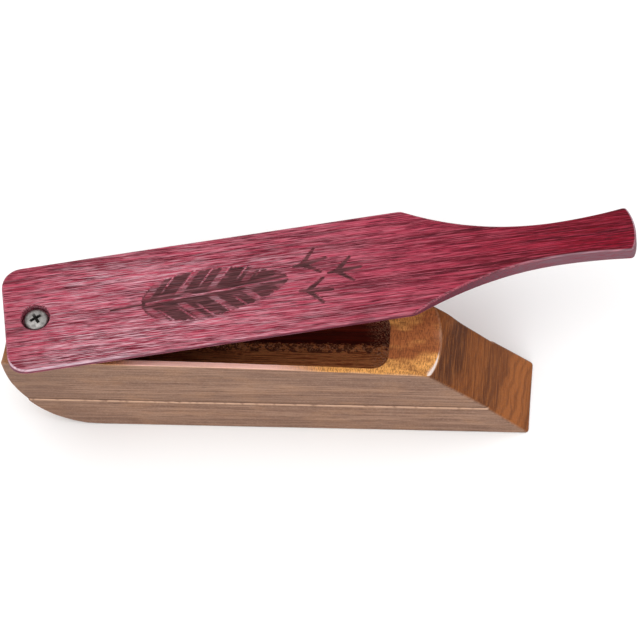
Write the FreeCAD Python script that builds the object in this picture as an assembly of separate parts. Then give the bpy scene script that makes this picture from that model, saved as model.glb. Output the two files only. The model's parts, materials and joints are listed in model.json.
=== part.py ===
import FreeCAD, Part
import os
from math import asin, degrees, hypot, radians, sqrt, tan

from FreeCAD import Vector

# Box turkey call: a milled walnut sound box with a crowned paddle lid that swings on one sprung screw.
# Millimetres. Origin at the centre of the flat underside, +X from the pivot end to the ramp end, +Z up.
# The lid lies level and swung open towards +Y.

# Sound box, outside
BOX_LENGTH = 204.2
BOX_WIDTH = 32.6
PIVOT_END_HEIGHT = 46.4
RAMP_TOP_HEIGHT = 42.5
ARCH_RISE = 1.9
BOW_RUN = 33.0
RAMP_RUN = 36.9
LEDGE_HEIGHT = 17.0
LEDGE_DEPTH = 0.5
LEDGE_DROP = 0.4
WAIST_INSET = 1.1
DISH_DEPTH = 3.7

# Sound chamber
WALL = 2.9
FLOOR = 14.0
PIVOT_BLOCK = 26.0
RAMP_BLOCK = 16.2
CHAMBER_CORNER = 7.0
CHAMBER_FLOOR_FILLET = 2.0

# Paddle lid
LID_WIDTH = 47.8
LID_THICKNESS = 7.2
LID_EDGE = 2.4
LID_REAR_OVERHANG = 12.4
LID_REAR_CORNER = 8.0
SHOULDER_REACH = 147.0
NECK_REACH = 205.0
TIP_REACH = 234.0
NECK_WIDTH = 16.2
TIP_WIDTH = 20.4
TIP_BULGE = 2.4
LID_SWING = 11.2
RIM_CLEARANCE = 0.3
LID_TOP_ROUND = 0.5

# Pivot: a pan-head wood screw, two washers and a compression spring
PIVOT_SETBACK = 13.3
SCREW_LENGTH = 31.75
SHANK_DIAMETER = 4.83
ROOT_DIAMETER = 3.4
THREAD_LENGTH = 21.0
THREAD_PITCH = 1.95
THREAD_FLAT = 0.2
TIP_LENGTH = 3.2
HEAD_DIAMETER = 9.5
HEAD_HEIGHT = 3.1
HEAD_RIM = 1.5
HEAD_SINK = 0.4
DRIVE_SPAN = 5.2
DRIVE_WIDTH = 1.25
DRIVE_DEPTH = 2.1
DRIVE_TAPER = 14.0
HEAD_CLEARANCE = 1.0
SHANK_PLAY = 0.6
WASHER_BORE_CLEARANCE = 0.08
WASHER_MARGIN = 0.25
WASHER_THICKNESS = 0.8
SEAT_DEPTH = 0.3
SEAT_CLEARANCE = 0.3
SPRING_WIRE = 0.8
SPRING_BORE_CLEARANCE = 0.9
SPRING_TURNS = 4.5
POCKET_DEPTH = 6.7
POCKET_CLEARANCE = 0.5
PILOT_MARGIN = 0.6

# A length past any face that a cutting tool has to clear
OVERSHOOT = 10.0
# Slack for picking edges by where they lie
NEARLY = 0.1
# Control-point reach, as a share of each radius, of a cubic curve that draws a quarter ellipse
QUARTER_REACH = 0.5523
# Share of a circle's radius that its 45-degree point stands out by
DIAGONAL = sqrt(0.5)

# Places that follow from the sizes above
PIVOT_END = -BOW_RUN - (BOX_LENGTH - BOW_RUN) / 2
RAMP_END = PIVOT_END + BOX_LENGTH
RAMP_TOP = RAMP_END - RAMP_RUN
CHAMBER_START = PIVOT_END + PIVOT_BLOCK
CHAMBER_END = RAMP_TOP - RAMP_BLOCK
PIVOT_X = PIVOT_END + PIVOT_SETBACK
HALF_BOX = BOX_WIDTH / 2
HALF_LID = LID_WIDTH / 2


def radius_of_rise(half_chord, rise):
    """Radius of the circle whose arc rises this much above a chord of this half length."""
    return (half_chord ** 2 + rise ** 2) / (2 * rise)


def rise_at(radius, offset):
    """How far a circle of this radius has curved away at this distance from its tangent point."""
    return radius - sqrt(radius ** 2 - offset ** 2)


def arch_circle():
    """Centre and radius, in the XZ plane, of the circle that the box's two top edges follow."""
    run = RAMP_TOP - PIVOT_END
    fall = RAMP_TOP_HEIGHT - PIVOT_END_HEIGHT
    chord = hypot(run, fall)
    radius = radius_of_rise(chord / 2, ARCH_RISE)
    middle = Vector((PIVOT_END + RAMP_TOP) / 2, 0, (PIVOT_END_HEIGHT + RAMP_TOP_HEIGHT) / 2)
    upward = Vector(-fall / chord, 0, run / chord)
    return middle + upward * (ARCH_RISE - radius), radius


ARCH_CENTRE, ARCH_RADIUS = arch_circle()
RIM_PEAK = ARCH_CENTRE.z + ARCH_RADIUS
DISH_RADIUS = radius_of_rise(HALF_BOX, DISH_DEPTH)


def dish_bottom(x):
    """Height of the hollowed top along the box's centre line."""
    return ARCH_CENTRE.z + sqrt(ARCH_RADIUS ** 2 - (x - ARCH_CENTRE.x) ** 2) - DISH_DEPTH


# Heights of the pivot stack, from the lid down
LID_UNDERSIDE = RIM_PEAK + RIM_CLEARANCE
LID_TOP = LID_UNDERSIDE + LID_THICKNESS
HEAD_TOP = LID_TOP - HEAD_SINK
HEAD_UNDERSIDE = HEAD_TOP - HEAD_HEIGHT
RECESS_FLOOR = HEAD_UNDERSIDE - WASHER_THICKNESS
SEAT_TOP = LID_UNDERSIDE + SEAT_DEPTH
SPRING_TOP = SEAT_TOP - WASHER_THICKNESS
POCKET_FLOOR = dish_bottom(PIVOT_X) - POCKET_DEPTH
SCREW_TIP = HEAD_UNDERSIDE - SCREW_LENGTH

HEAD_RADIUS = HEAD_DIAMETER / 2
SHANK_RADIUS = SHANK_DIAMETER / 2
ROOT_RADIUS = ROOT_DIAMETER / 2
WASHER_RADIUS = HEAD_RADIUS + WASHER_MARGIN
SPRING_RADIUS = SHANK_RADIUS + SPRING_BORE_CLEARANCE + SPRING_WIRE / 2
SPRING_OUTSIDE = SPRING_RADIUS + SPRING_WIRE / 2


def polygon(points):
    """Closed wire through the points."""
    return Part.makePolygon(points + points[:1])


def prism(wire, direction):
    """Solid swept straight from a flat closed wire."""
    return Part.Face(wire).extrude(direction)


def cylinder(radius, bottom, top):
    """Upright cylinder on the pivot axis."""
    return Part.makeCylinder(radius, top - bottom, Vector(PIVOT_X, 0, bottom))


def quarter_ellipse(start, end, corner):
    """Quarter-ellipse edge, tangent to the lines from its ends to the corner."""
    curve = Part.BezierCurve()
    reach_start = start + (corner - start) * QUARTER_REACH
    reach_end = end + (corner - end) * QUARTER_REACH
    curve.setPoles([start, reach_start, reach_end, end])
    return curve.toShape()


def box_side_profile():
    """Boat-shaped side view of the box: bow, flat base, ramp, and a straight top above the arch."""
    top = RIM_PEAK + OVERSHOOT
    slope = RAMP_RUN / RAMP_TOP_HEIGHT
    bow_start = Vector(PIVOT_END, 0, PIVOT_END_HEIGHT)
    bow_foot = Vector(PIVOT_END + BOW_RUN, 0, 0)
    ramp_foot = Vector(RAMP_END, 0, 0)
    ramp_over = Vector(RAMP_TOP - slope * (top - RAMP_TOP_HEIGHT), 0, top)
    corner_over = Vector(PIVOT_END, 0, top)
    edges = [
        quarter_ellipse(bow_start, bow_foot, Vector(PIVOT_END, 0, 0)),
        Part.makeLine(bow_foot, ramp_foot),
        Part.makeLine(ramp_foot, ramp_over),
        Part.makeLine(ramp_over, corner_over),
        Part.makeLine(corner_over, bow_start),
    ]
    return Part.Wire(edges)


def box_cross_section():
    """End view of the box: flared foot, a small ledge, and sides that widen again to the rim."""
    lean = WAIST_INSET / (PIVOT_END_HEIGHT - LEDGE_HEIGHT)
    top = RIM_PEAK + OVERSHOOT
    side = [
        (HALF_BOX, 0),
        (HALF_BOX - WAIST_INSET + LEDGE_DEPTH, LEDGE_HEIGHT - LEDGE_DROP),
        (HALF_BOX - WAIST_INSET, LEDGE_HEIGHT),
        (HALF_BOX + lean * (top - PIVOT_END_HEIGHT), top),
    ]
    start = PIVOT_END - OVERSHOOT
    right = [Vector(start, y, z) for y, z in side]
    left = [Vector(start, -y, z) for y, z in reversed(side)]
    return polygon(right + left)


def dish_cutter():
    """Round bar bent along the arch, whose underside hollows the top of the box across its width."""
    bar_centre = ARCH_RADIUS + DISH_RADIUS - DISH_DEPTH
    spread = degrees(asin((BOX_LENGTH + 2 * OVERSHOOT) / ARCH_RADIUS))
    axis = Vector(0, 1, 0)
    centre = ARCH_CENTRE + Vector(0, 0, bar_centre)
    disc = Part.Face(Part.Wire(Part.makeCircle(DISH_RADIUS, centre, Vector(1, 0, 0))))
    disc.rotate(ARCH_CENTRE, axis, -spread)
    return disc.revolve(ARCH_CENTRE, axis, 2 * spread)


def chamber_cutter():
    """Long pocket with rounded corners that forms the sound chamber."""
    width = BOX_WIDTH - 2 * WALL
    height = RIM_PEAK + OVERSHOOT - FLOOR
    corner = Vector(CHAMBER_START, -width / 2, FLOOR)
    pocket = Part.makeBox(CHAMBER_END - CHAMBER_START, width, height, corner)
    upright = [e for e in pocket.Edges if e.BoundBox.ZLength > height - NEARLY]
    pocket = pocket.makeFillet(CHAMBER_CORNER, upright)
    bottom = [e for e in pocket.Edges if e.BoundBox.ZMax < FLOOR + NEARLY]
    return pocket.makeFillet(CHAMBER_FLOOR_FILLET, bottom)


def make_box_body():
    """One block of walnut: boat-shaped outside, dished top, milled chamber, spring pocket, pilot hole."""
    side = prism(box_side_profile(), Vector(0, 2 * BOX_WIDTH, 0))
    side.translate(Vector(0, -BOX_WIDTH, 0))
    section = prism(box_cross_section(), Vector(BOX_LENGTH + 2 * OVERSHOOT, 0, 0))
    pocket_radius = SPRING_OUTSIDE + POCKET_CLEARANCE
    pocket = cylinder(pocket_radius, POCKET_FLOOR, RIM_PEAK + OVERSHOOT)
    pilot = cylinder(ROOT_RADIUS, SCREW_TIP - PILOT_MARGIN, POCKET_FLOOR + OVERSHOOT)
    return side.common(section).cut([dish_cutter(), chamber_cutter(), pocket, pilot])


def concave_edge(neck, end_reach, end_half_width):
    """Arc that leaves the neck along the lid and curves out to the given half width."""
    run = end_reach - neck.x
    radius = radius_of_rise(abs(run), abs(end_half_width - neck.y))
    middle_rise = rise_at(radius, run / 2)
    side = 1 if neck.y > 0 else -1
    middle = Vector(neck.x + run / 2, neck.y + side * middle_rise, 0)
    return Part.Arc(neck, middle, Vector(end_reach, end_half_width, 0)).toShape()


def lid_outline():
    """Plan of the lid, in its own frame: pivot at the origin, handle along +X."""
    neck = NECK_WIDTH / 2
    tip = TIP_WIDTH / 2
    corner = LID_REAR_CORNER
    rear = -LID_REAR_OVERHANG
    inset = corner * (1 - DIAGONAL)
    edges = []
    for side in (1, -1):
        rear_point = Vector(rear, side * (HALF_LID - corner), 0)
        round_point = Vector(rear + inset, side * (HALF_LID - inset), 0)
        side_point = Vector(rear + corner, side * HALF_LID, 0)
        neck_point = Vector(NECK_REACH, side * neck, 0)
        edges.append(Part.Arc(rear_point, round_point, side_point).toShape())
        edges.append(Part.makeLine(side_point, Vector(SHOULDER_REACH, side * HALF_LID, 0)))
        edges.append(concave_edge(neck_point, SHOULDER_REACH, side * HALF_LID))
        edges.append(concave_edge(neck_point, TIP_REACH, side * tip))
    edges.append(Part.Arc(Vector(TIP_REACH, tip, 0), Vector(TIP_REACH + TIP_BULGE, 0, 0),
                          Vector(TIP_REACH, -tip, 0)).toShape())
    edges.append(Part.makeLine(Vector(rear, HALF_LID - corner, 0), Vector(rear, corner - HALF_LID, 0)))
    return Part.Wire(Part.__sortEdges__(edges))


def crown_cutter():
    """Half-round bar whose underside is the lid's crowned underside."""
    crown_radius = radius_of_rise(HALF_LID, LID_THICKNESS - LID_EDGE)
    length = LID_REAR_OVERHANG + TIP_REACH + TIP_BULGE + 2 * OVERSHOOT
    start = Vector(-LID_REAR_OVERHANG - OVERSHOOT, 0, crown_radius)
    return Part.makeCylinder(crown_radius, length, start, Vector(1, 0, 0))


def at_pivot(shape, height):
    """Swing a shape made in the lid's own frame to the open angle and set it on the pivot."""
    shape.rotate(Vector(0, 0, 0), Vector(0, 0, 1), LID_SWING)
    shape.translate(Vector(PIVOT_X, 0, height))
    return shape


def make_lid():
    """Purpleheart paddle: flat top, crowned underside, sunk screw seat, loose hole, washer seat."""
    blank = prism(lid_outline(), Vector(0, 0, LID_THICKNESS))
    top_edges = [e for e in blank.Edges if e.BoundBox.ZMin > LID_THICKNESS - NEARLY]
    blank = blank.makeFillet(LID_TOP_ROUND, top_edges)
    lid = at_pivot(blank.common(crown_cutter()), LID_UNDERSIDE)
    recess = cylinder(HEAD_RADIUS + HEAD_CLEARANCE, RECESS_FLOOR, LID_TOP + OVERSHOOT)
    hole = cylinder(SHANK_RADIUS + SHANK_PLAY, LID_UNDERSIDE - OVERSHOOT, LID_TOP + OVERSHOOT)
    seat = cylinder(WASHER_RADIUS + SEAT_CLEARANCE, LID_UNDERSIDE - OVERSHOOT, SEAT_TOP)
    return lid.cut([recess, hole, seat])


def drive_recess():
    """Cross-shaped recess: four tapering wings."""
    half = DRIVE_SPAN / 2
    foot = half - DRIVE_DEPTH * tan(radians(DRIVE_TAPER)) - DRIVE_WIDTH / 2
    top = HEAD_TOP + HEAD_HEIGHT
    floor = HEAD_TOP - DRIVE_DEPTH
    reach = foot + (half - foot) * (top - floor) / DRIVE_DEPTH
    outline = [Vector(-reach, 0, top), Vector(reach, 0, top),
               Vector(foot, 0, floor), Vector(-foot, 0, floor)]
    wings = []
    for turn in (0, 90):
        wing = prism(polygon(outline), Vector(0, DRIVE_WIDTH, 0))
        wing.translate(Vector(PIVOT_X, -DRIVE_WIDTH / 2, 0))
        wing.rotate(Vector(PIVOT_X, 0, 0), Vector(0, 0, 1), turn)
        wings.append(wing)
    return wings[0].fuse(wings[1])


def screw_blank():
    """Turned screw without its thread: domed head, shank, root and point."""
    thread_top = SCREW_TIP + THREAD_LENGTH
    rim = HEAD_UNDERSIDE + HEAD_RIM
    head_corner = Vector(HEAD_RADIUS, 0, rim)
    crown = Vector(0, 0, HEAD_TOP)
    corner = Vector(HEAD_RADIUS, 0, HEAD_TOP)
    outline = [Vector(0, 0, SCREW_TIP), Vector(ROOT_RADIUS, 0, SCREW_TIP + TIP_LENGTH),
               Vector(ROOT_RADIUS, 0, thread_top), Vector(SHANK_RADIUS, 0, thread_top + THREAD_PITCH / 2),
               Vector(SHANK_RADIUS, 0, HEAD_UNDERSIDE), Vector(HEAD_RADIUS, 0, HEAD_UNDERSIDE), head_corner]
    edges = [Part.makeLine(a, b) for a, b in zip(outline, outline[1:])]
    edges.append(quarter_ellipse(head_corner, crown, corner))
    edges.append(Part.makeLine(crown, outline[0]))
    half = Part.Face(Part.Wire(edges))
    blank = half.revolve(Vector(0, 0, 0), Vector(0, 0, 1), 360)
    blank.translate(Vector(PIVOT_X, 0, 0))
    return blank


def screw_thread():
    """Helical ridge of the wood thread."""
    start = SCREW_TIP + TIP_LENGTH
    height = THREAD_LENGTH - TIP_LENGTH - THREAD_PITCH / 2
    helix = Part.makeHelix(THREAD_PITCH, height, ROOT_RADIUS)
    inner = ROOT_RADIUS - THREAD_FLAT
    foot = THREAD_PITCH / 4
    ridge = polygon([Vector(inner, 0, -foot), Vector(SHANK_RADIUS, 0, -THREAD_FLAT / 2),
                     Vector(SHANK_RADIUS, 0, THREAD_FLAT / 2), Vector(inner, 0, foot)])
    thread = Part.Wire(helix).makePipeShell([ridge], True, True)
    thread.translate(Vector(PIVOT_X, 0, start))
    return thread


def make_pivot_screw():
    """Pan-head wood screw with a cross recess."""
    return screw_blank().fuse(screw_thread()).cut(drive_recess())


def make_washer(bore_radius, top):
    """Flat washer on the pivot axis."""
    bottom = top - WASHER_THICKNESS
    return cylinder(WASHER_RADIUS, bottom, top).cut(cylinder(bore_radius, bottom, top))


def make_lid_spring():
    """Compression spring with closed ends ground flat, standing in the pocket under the lid."""
    low = POCKET_FLOOR
    high = SPRING_TOP
    helix_height = high - low - SPRING_WIRE
    helix = Part.makeHelix(helix_height / SPRING_TURNS, helix_height, SPRING_RADIUS)
    wire_section = Part.Wire(Part.makeCircle(SPRING_WIRE / 2, Vector(SPRING_RADIUS, 0, 0), Vector(0, 1, 0)))
    coil = Part.Wire(helix).makePipeShell([wire_section], True, True)
    coil.translate(Vector(PIVOT_X, 0, low + SPRING_WIRE / 2))
    ends = []
    for height in (low + SPRING_WIRE / 4, high - SPRING_WIRE / 4):
        ends.append(Part.makeTorus(SPRING_RADIUS, SPRING_WIRE / 2, Vector(PIVOT_X, 0, height)))
    slab = cylinder(SPRING_OUTSIDE + SPRING_WIRE, low, high)
    return coil.fuse(ends).common(slab)


def build_nodes():
    """Every sub-part by name."""
    return {
        "box_body": make_box_body(),
        "lid": make_lid(),
        "pivot_screw": make_pivot_screw(),
        "head_washer": make_washer(SHANK_RADIUS + WASHER_BORE_CLEARANCE, HEAD_UNDERSIDE),
        "spring_washer": make_washer(SHANK_RADIUS + SHANK_PLAY, SEAT_TOP),
        "lid_spring": make_lid_spring(),
    }


os.makedirs("parts", exist_ok=True)
for name, shape in build_nodes().items():
    shape.exportStep("parts/" + name + ".step")
    box = shape.BoundBox
    print(name, "solids", len(shape.Solids), "valid", shape.isValid(), "volume", round(shape.Volume, 1),
          "x", round(box.XMin, 2), round(box.XMax, 2), "y", round(box.YMin, 2), round(box.YMax, 2),
          "z", round(box.ZMin, 2), round(box.ZMax, 2))
print("recess floor", round(RECESS_FLOOR, 5), "spring foot", round(POCKET_FLOOR, 5),
      "pivot x", round(PIVOT_X, 3))
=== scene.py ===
import json
import math

import bmesh
import bpy
import numpy as np
from mathutils import Matrix, Vector


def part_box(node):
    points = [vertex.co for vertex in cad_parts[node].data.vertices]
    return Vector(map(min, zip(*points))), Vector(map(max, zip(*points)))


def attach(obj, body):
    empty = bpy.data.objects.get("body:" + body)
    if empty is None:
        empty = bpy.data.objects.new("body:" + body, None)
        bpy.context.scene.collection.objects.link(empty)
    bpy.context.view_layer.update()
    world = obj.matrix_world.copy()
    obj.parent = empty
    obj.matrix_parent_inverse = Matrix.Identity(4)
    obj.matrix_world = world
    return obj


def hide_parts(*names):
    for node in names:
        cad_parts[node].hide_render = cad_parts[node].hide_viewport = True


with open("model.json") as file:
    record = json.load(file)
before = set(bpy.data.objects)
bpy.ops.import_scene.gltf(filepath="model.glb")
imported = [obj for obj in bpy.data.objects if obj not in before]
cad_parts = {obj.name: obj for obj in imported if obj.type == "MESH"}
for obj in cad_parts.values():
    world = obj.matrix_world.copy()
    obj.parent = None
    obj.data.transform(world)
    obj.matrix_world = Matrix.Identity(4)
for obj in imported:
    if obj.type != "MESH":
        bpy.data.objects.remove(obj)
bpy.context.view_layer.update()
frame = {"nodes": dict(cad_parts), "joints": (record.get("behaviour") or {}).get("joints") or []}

# Box turkey call. Detailed walnut box, purpleheart paddle lid and pivot hardware around the CAD frame.
# Metres throughout. The CAD frame has +X from the pivot end to the ramp end and +Z up.

MM = 0.001

# Overall places, from the frame
BOX_LOW, BOX_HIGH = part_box("box_body")
LID_LOW, LID_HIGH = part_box("lid")
WASHER_LOW, WASHER_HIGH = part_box("head_washer")
SEAT_LOW, SEAT_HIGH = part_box("spring_washer")
SPRING_LOW, SPRING_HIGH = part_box("lid_spring")
SCREW_LOW, SCREW_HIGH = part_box("pivot_screw")
PIVOT = (WASHER_LOW + WASHER_HIGH) / 2
LIFT_AXIS = next(j["axis"] for j in frame["joints"] if j["name"] == "lid_lift")
SWING = math.atan2(LIFT_AXIS[0], -LIFT_AXIS[1])

# Box shape
PIVOT_END = BOX_LOW.x
RAMP_END = BOX_HIGH.x
PIVOT_END_HEIGHT = 46.4 * MM
RAMP_TOP_HEIGHT = 42.5 * MM
ARCH_RISE = 1.9 * MM
BOW_RUN = 38.0 * MM
BOW_FULLNESS = 2.4
RAMP_RUN = 36.9 * MM
HALF_BOX = 16.3 * MM
LEDGE_HEIGHT = 17.0 * MM
LEDGE_DROP = 0.4 * MM
LEDGE_DEPTH = 0.5 * MM
WAIST_INSET = 1.1 * MM
DISH_DEPTH = 3.7 * MM
HALF_CHAMBER = 13.4 * MM
CHAMBER_CORNER = 7.0 * MM
CHAMBER_FLOOR = 14.0 * MM
CHAMBER_START = PIVOT_END + 26.0 * MM
CHAMBER_END = RAMP_END - RAMP_RUN - 16.2 * MM
FLOOR_FILLET = 2.0 * MM
RAMP_SWELL = 1.0 * MM
SWELL_HEIGHT = 37.0 * MM
SWELL_REACH = 8.0 * MM
RIM_ROUND = 0.5 * MM
FOOT_ROUND = 0.9 * MM
BOW_CORNER = 0.5 * MM
RAMP_CORNER = 1.6 * MM
POCKET_RADIUS = 4.62 * MM
PILOT_RADIUS = 1.7 * MM

# Lid shape, in the lid's own frame: u along the lid from the pivot, v across it
HALF_LID = 23.9 * MM
LID_THICKNESS = LID_HIGH.z - LID_LOW.z
LID_EDGE = 2.4 * MM
LID_REAR = -12.4 * MM
LID_REAR_CORNER = 8.0 * MM
SHOULDER = 147.0 * MM
NECK = 205.0 * MM
TIP = 234.0 * MM
TIP_BULGE = 2.4 * MM
HALF_NECK = 8.1 * MM
HALF_TIP = 10.2 * MM
LID_TOP_ROUND = 1.1 * MM
LID_BOTTOM_ROUND = 0.5 * MM
RECESS_RADIUS = 5.75 * MM
HOLE_RADIUS = 3.015 * MM
SEAT_RADIUS = 5.3 * MM
RECESS_BEVEL = 0.3 * MM
BURN_DEPTH = 0.3 * MM
DRIVEN_ANGLE = math.radians(35)
DRIVER_REACH = 3.0 * MM
DRIVER_LIP = 0.75 * MM
GRAIN_LEAN = math.radians(1.8)


# ---------------------------------------------------------------- numbers

def smoothstep(low, high, value):
    """0 below low, 1 above high, a smooth rise between."""
    t = np.clip((value - low) / (high - low), 0, 1)
    return t * t * (3 - 2 * t)


def lattice(cell, seed):
    """One repeatable random number in -1..1 for each lattice cell."""
    mixed = cell[:, 0] * 73856093 ^ cell[:, 1] * 19349663 ^ cell[:, 2] * 83492791 ^ seed * 2654435761
    mixed &= 0xFFFFFFFF
    mixed = ((mixed ^ (mixed >> 13)) * 1274126177) & 0xFFFFFFFF
    mixed ^= mixed >> 16
    return mixed / 0x7FFFFFFF - 1


def field(points, scale, seed):
    """Smooth random field in about -1..1; scale is the size of a blob along each axis."""
    scaled = points / np.asarray(scale)
    cell = np.floor(scaled).astype(np.int64)
    part = scaled - cell
    part = part * part * (3 - 2 * part)
    total = np.zeros(len(points))
    for corner in range(8):
        offset = np.array([corner & 1, corner >> 1 & 1, corner >> 2 & 1])
        weight = np.prod(np.where(offset == 1, part, 1 - part), axis=1)
        total += weight * lattice(cell + offset, seed)
    return total


def radius_of_rise(half_chord, rise):
    """Radius of the circle whose arc rises this much above a chord of this half length."""
    return (half_chord ** 2 + rise ** 2) / (2 * rise)


def rise_at(radius, offset):
    """How far a circle of this radius has curved away at this distance from its tangent point."""
    return radius - np.sqrt(radius ** 2 - offset ** 2)


def turned(points, angle):
    """Points turned about the vertical axis."""
    c, s = math.cos(angle), math.sin(angle)
    x = points[:, 0] * c - points[:, 1] * s
    y = points[:, 0] * s + points[:, 1] * c
    return np.column_stack([x, y, points[:, 2]])


# ---------------------------------------------------------------- meshes

def mesh_object(name, points, faces):
    """New object from points and faces, doubled points joined and normals pointing out."""
    data = bpy.data.meshes.new(name)
    data.from_pydata([tuple(p) for p in points], [], faces)
    work = bmesh.new()
    work.from_mesh(data)
    bmesh.ops.remove_doubles(work, verts=work.verts, dist=0.002 * MM)
    bmesh.ops.recalc_face_normals(work, faces=work.faces)
    work.to_mesh(data)
    work.free()
    piece = bpy.data.objects.new(name, data)
    bpy.context.scene.collection.objects.link(piece)
    return piece


def rings_to_mesh(name, rings):
    """Closed skin through a stack of equal rings; the first and last ring are folded onto a line."""
    count = len(rings[0])
    points = np.concatenate(rings)
    around = np.arange(count)
    after = (around + 1) % count
    faces = []
    for level in range(len(rings) - 1):
        base = level * count
        quads = np.column_stack([base + around, base + after, base + count + after, base + count + around])
        faces.extend(quads.tolist())
    return mesh_object(name, points, faces)


def rounded_edge(before, corner, after, steps):
    """Rings of a rounded edge: they leave the ring before, bend at the corner, and stop short of after."""
    rings = []
    for t in np.linspace(0, 1, steps, endpoint=False):
        rings.append((1 - t) ** 2 * before + 2 * t * (1 - t) * corner + t * t * after)
    return rings


def between(start, end, steps):
    """Evenly spaced rings from start up to, but without, end."""
    return [start + (end - start) * t for t in np.linspace(0, 1, steps, endpoint=False)]


def lathe(name, profile, centre, segments=96):
    """Turned solid about a vertical axis, from (radius, height) points; both ends lie on the axis."""
    rings = []
    angles = np.linspace(0, 2 * math.pi, segments, endpoint=False)
    for radius, height in profile:
        ring = np.column_stack([centre[0] + radius * np.cos(angles), centre[1] + radius * np.sin(angles),
                                np.full(segments, height)])
        rings.append(ring)
    return rings_to_mesh(name, rings)


def cut_away(piece, cutter):
    """Subtract the cutter from the piece and throw the cutter away."""
    modifier = piece.modifiers.new("cut", "BOOLEAN")
    modifier.operation = "DIFFERENCE"
    modifier.solver = "EXACT"
    modifier.object = cutter
    graph = bpy.context.evaluated_depsgraph_get()
    cut = bpy.data.meshes.new_from_object(piece.evaluated_get(graph))
    piece.modifiers.remove(modifier)
    piece.data = cut
    bpy.data.objects.remove(cutter)


def points_of(piece):
    """The piece's points as an array."""
    flat = np.empty(len(piece.data.vertices) * 3)
    piece.data.vertices.foreach_get("co", flat)
    return flat.reshape(-1, 3)


def normals_of(piece):
    """The piece's point normals as an array."""
    flat = np.empty(len(piece.data.vertices) * 3)
    piece.data.vertex_normals.foreach_get("vector", flat)
    return flat.reshape(-1, 3)


def set_points(piece, points):
    """Move the piece's points."""
    piece.data.vertices.foreach_set("co", points.ravel())
    piece.data.update()


def set_mask(piece, name, values):
    """Store one number per point, for a material to read."""
    attribute = piece.data.attributes.new(name, "FLOAT", "POINT")
    attribute.data.foreach_set("value", np.asarray(values, dtype=np.float32))


def shade(piece, sharp_degrees):
    """Smooth shading, with edges sharper than this angle kept crisp."""
    piece.data.shade_smooth()
    piece.data.set_sharp_from_angle(angle=math.radians(sharp_degrees))


# ---------------------------------------------------------------- the box

def arch_circle():
    """Centre x, centre z and radius of the circle that the box's two top edges follow."""
    ramp_top = RAMP_END - RAMP_RUN
    run = ramp_top - PIVOT_END
    fall = RAMP_TOP_HEIGHT - PIVOT_END_HEIGHT
    chord = math.hypot(run, fall)
    radius = radius_of_rise(chord / 2, ARCH_RISE)
    drop = ARCH_RISE - radius
    x = (PIVOT_END + ramp_top) / 2 - fall / chord * drop
    z = (PIVOT_END_HEIGHT + RAMP_TOP_HEIGHT) / 2 + run / chord * drop
    return x, z, radius


ARCH_X, ARCH_Z, ARCH_RADIUS = arch_circle()
DISH_RADIUS = radius_of_rise(HALF_BOX, DISH_DEPTH)


def top_height(x, y):
    """Height of the box's arched and dished top."""
    radius = ARCH_RADIUS - DISH_DEPTH + rise_at(DISH_RADIUS, np.clip(y, -HALF_BOX, HALF_BOX))
    return ARCH_Z + np.sqrt(radius ** 2 - (x - ARCH_X) ** 2)


def bow_at(z):
    """Where the bow of the boat shape stands at each height."""
    share = np.clip((PIVOT_END_HEIGHT - z) / PIVOT_END_HEIGHT, 0, 1)
    return PIVOT_END + BOW_RUN * (1 - (1 - share ** BOW_FULLNESS) ** (1 / BOW_FULLNESS))


def ramp_at(z):
    """Where the ramp stands at each height."""
    return RAMP_END - RAMP_RUN * z / RAMP_TOP_HEIGHT


def half_width_at(z):
    """Half width of the box at each height: flared foot, ledge, leaning sides."""
    heights = [0, LEDGE_HEIGHT - LEDGE_DROP, LEDGE_HEIGHT, PIVOT_END_HEIGHT]
    waist = HALF_BOX - WAIST_INSET
    return np.interp(z, heights, [HALF_BOX, waist + LEDGE_DEPTH, waist, HALF_BOX])


LONG_POINTS = 340
END_POINTS = 56
CORNER_POINTS = 14


def rounded_rectangle(x0, x1, half, start_corner, end_corner):
    """Plan points of a rectangle with rounded corners; every ring has the same order of points."""
    along = np.linspace(0, 1, LONG_POINTS, endpoint=False)
    across = np.linspace(-1, 1, END_POINTS, endpoint=False)
    bend = np.linspace(0, math.pi / 2, CORNER_POINTS, endpoint=False)
    x, y = [], []
    for side in (1, -1):
        near_x, near_corner = (x0, start_corner) if side > 0 else (x1, end_corner)
        far_x, far_corner = (x1, end_corner) if side > 0 else (x0, start_corner)
        side_start = near_x + side * near_corner
        side_end = far_x - side * far_corner
        x.append(side_start + along * (side_end - side_start))
        y.append(np.full(LONG_POINTS, -side * half))
        x.append(side_end + side * far_corner * np.sin(bend))
        y.append(-side * (half - far_corner + far_corner * np.cos(bend)))
        x.append(np.full(END_POINTS, far_x))
        y.append(side * across * (half - far_corner))
        x.append(side_end + side * far_corner * np.cos(bend))
        y.append(side * (half - far_corner + far_corner * np.sin(bend)))
    return np.concatenate(x), np.concatenate(y)


def skin_ring(along, across, z):
    """Ring on the box's outside: along and across are shares of the box at that height."""
    x = bow_at(z) + (ramp_at(z) - bow_at(z)) * along
    return np.column_stack([x, across * half_width_at(z), z])


def skin_rings(along, across, top, bottom, steps):
    """Rings down the box's outside from one set of heights to another, without the last."""
    shares = np.linspace(0, 1, steps, endpoint=False)
    return [skin_ring(along, across, top + (bottom - top) * share) for share in shares]


def top_edge_ring(along, across):
    """The sharp top edge, where the outside meets the dished top."""
    z = np.full(len(along), RAMP_TOP_HEIGHT)
    for _ in range(12):
        ring = skin_ring(along, across, z)
        z = top_height(ring[:, 0], ring[:, 1])
    return skin_ring(along, across, z)


def onto_top(ring):
    """The ring lifted or dropped onto the dished top."""
    return np.column_stack([ring[:, 0], ring[:, 1], top_height(ring[:, 0], ring[:, 1])])


def to_centre_line(ring, half):
    """The ring folded onto its long centre line."""
    x = np.clip(ring[:, 0], ring[:, 0].min() + half, ring[:, 0].max() - half)
    return np.column_stack([x, np.zeros(len(x)), ring[:, 2]])


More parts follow.
